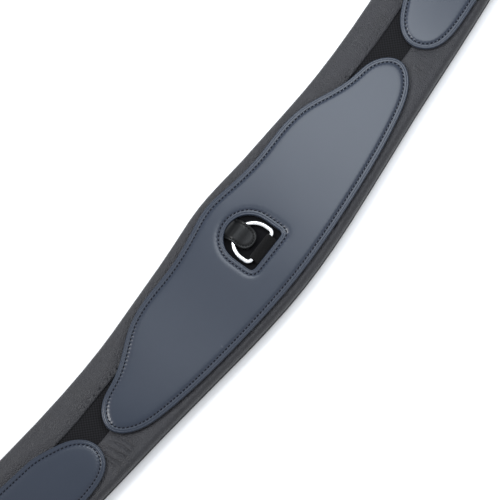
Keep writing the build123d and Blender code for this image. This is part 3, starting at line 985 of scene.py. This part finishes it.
def make_chape(place, local):
    """Leather strap folded round the heel bar, with a slot for the tongue."""
    turn = 3.0
    lower = [(x, local.bar_z - turn) for x in np.arange(CHAPE_START, BAR_X, 1.5)]
    angles = np.radians(np.arange(-90, 91, 15))
    arc = [(BAR_X + turn * math.cos(a), local.bar_z + turn * math.sin(a)) for a in angles]
    upper = [(x, local.bar_z + turn) for x in np.arange(BAR_X - 1.5, CHAPE_START - 1, -1.5)]
    path = np.array(lower + arc + upper)
    w = np.concatenate([np.linspace(-11.9, -2.9, 10), np.linspace(2.9, 11.9, 10)])
    heading = np.gradient(path, axis=0)
    heading /= np.linalg.norm(heading, axis=1)[:, None]
    normal = np.column_stack([heading[:, 1], -heading[:, 0]])
    points, faces, half = [], [], 0.68
    count = len(w)
    for level in (half, -half):
        for (x, z), (nx, nz) in zip(path, normal):
            full = smooth01((x - CHAPE_START) / 7)
            thin = 0.45 + 0.55 * full
            grip = 0.25 * (1 - full) * (1 if z > local.bar_z else -1)
            points += [(x + nx * level * thin, a, z + nz * level * thin - grip) for a in w]
    rows = len(path)
    solid = {}
    for i in range(rows - 1):
        for j in range(count - 1):
            in_slot = j == 9 and min(path[i][0], path[i + 1][0]) > CHAPE_SLOT_X - 1.0
            solid[i, j] = not in_slot
    top, low = 0, rows * count
    for (i, j), keep in solid.items():
        if not keep:
            continue
        a, b, c, d = i * count + j, i * count + j + 1, (i + 1) * count + j + 1, (i + 1) * count + j
        faces.append((top + a, top + b, top + c, top + d))
        faces.append((low + d, low + c, low + b, low + a))
        beside = {(i - 1, j): (a, b), (i, j + 1): (b, c), (i + 1, j): (c, d), (i, j - 1): (d, a)}
        for neighbour, (p, q) in beside.items():
            if not solid.get(neighbour, False):
                faces.append((top + q, top + p, low + p, low + q))
    chape = make_mesh(f"{place}_chape_leather", local.to_row(points), faces, PANEL)
    bevel = chape.modifiers.new("soft_edges", "BEVEL")
    bevel.width = 0.35 * M
    bevel.segments = 2
    bevel.limit_method = "ANGLE"
    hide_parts(f"{place}_buckle_chape")
    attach(chape, f"{place}_chape")
    seams = [[(x, side * 9.6) for x in np.arange(47, 69, 3.0)] for side in (1, -1)]
    seams.append([(60.0, y) for y in np.arange(-7.4, 7.5, 2.9)])
    seams.append([(47.4, y) for y in np.arange(-7.4, 7.5, 2.9)])
    run = np.array([p for row in seams for p in row])
    heading = np.array([(1, 0)] * (len(seams[0]) * 2) + [(0, 1)] * (len(seams[2]) * 2))
    z_top = local.bar_z + turn + half + 0.02
    plan = local.to_row(np.column_stack([run, np.zeros(len(run))]))[:, :2]
    turned = np.array([local.out * h[0] + local.across * h[1] for h in heading])
    made = stitches(f"{place}_chape_stitching", plan, turned, z_top, NAVY, length=2.2, radius=0.27, slant=0.15)
    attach(made, f"{place}_chape")


for side in ("left", "right"):
    for row in ("front", "rear"):
        place = f"{side}_{row}"
        local = Local(place)
        make_elastic(place, local)
        make_chape(place, local)
        for piece in ("buckle_frame", "tongue", "roller"):
            paint_node(f"{place}_{piece}", STEEL)


# ---------------------------------------------------------------- floor, lights and camera
def make_floor():
    paint = Paint("floor", (0.86, 0.86, 0.865), 0.75, specular=0.2)
    paint.shade(paint.noise(6, 3), 0.99, 1.01)
    paint.shader.inputs["Emission Color"].default_value = (1, 1, 1, 1)
    paint.shader.inputs["Emission Strength"].default_value = 0.07
    s = 4000
    corners = [(-s, -s, -0.25), (s, -s, -0.25), (s, s, -0.25), (-s, s, -0.25)]
    floor = make_mesh("floor", corners, [(0, 1, 2, 3)], paint.material)


ELEVATION = math.radians(71.0)
HEADING = math.radians(53.3)
MM_PER_FRAME = 385 * 0.968
DISTANCE = 7.0
RIGHT = Vector((math.cos(HEADING), -math.sin(HEADING), 0))
UPWARD = Vector((math.sin(HEADING), math.cos(HEADING), 0))
AIM = Vector((-6.4 * M, -2.2 * M, 15 * M))


def make_camera():
    forward = UPWARD * math.cos(ELEVATION) - Vector((0, 0, 1)) * math.sin(ELEVATION)
    data = bpy.data.cameras.new("camera")
    data.lens_unit = "FOV"
    data.angle = 2 * math.atan(MM_PER_FRAME * M / 2 / DISTANCE)
    camera = bpy.data.objects.new("camera", data)
    camera.location = AIM - forward * DISTANCE
    camera.rotation_euler = forward.to_track_quat("-Z", "Y").to_euler()
    bpy.context.scene.collection.objects.link(camera)
    bpy.context.scene.camera = camera


def mirrored_place(x, y, height):
    """Where the camera looks by way of a level mirror at a place on the panel."""
    spot = Vector((x, y, Z_FIELD * M))
    seen = spot - bpy.context.scene.camera.location
    seen.z = -seen.z
    return spot + seen * ((height - spot.z) / seen.z)


def area_light(name, place, target, size, power, color=(1, 1, 1)):
    data = bpy.data.lights.new(name, "AREA")
    data.shape = "RECTANGLE"
    data.size, data.size_y = size
    data.energy = power
    data.color = color
    lamp = bpy.data.objects.new(name, data)
    lamp.location = place
    back = (lamp.location - target).normalized()
    along = (Vector((1, 0, 0)) - back * back.x).normalized()
    lamp.rotation_euler = Matrix((along, back.cross(along), back)).transposed().to_euler()
    lamp.visible_camera = False
    bpy.context.scene.collection.objects.link(lamp)


def make_world():
    world = bpy.data.worlds.new("soft_room")
    world.use_nodes = True
    world.node_tree.nodes["Background"].inputs["Color"].default_value = (0.93, 0.96, 1.0, 1)
    world.node_tree.nodes["Background"].inputs["Strength"].default_value = 0.85
    bpy.context.scene.world = world
    bpy.context.scene.view_settings.view_transform = "Standard"


make_floor()
make_camera()
make_world()
area_light("key", Vector((-0.55, 0.95, 1.3)), AIM, (0.7, 0.7), 16)
area_light("ridge", RIGHT * 0.8 - UPWARD * 0.2 + Vector((0, 0, 0.95)), AIM, (0.5, 0.3), 0.6)
for x, size, power in ((140, (0.22, 0.34), 1.35), (-105, (0.05, 0.3), 0.16)):
    spot = Vector((x * M, 0, 0.018))
    area_light(f"sheen_{x}", mirrored_place(x * M, 0, 0.46), spot, size, power, (0.88, 0.94, 1.0))
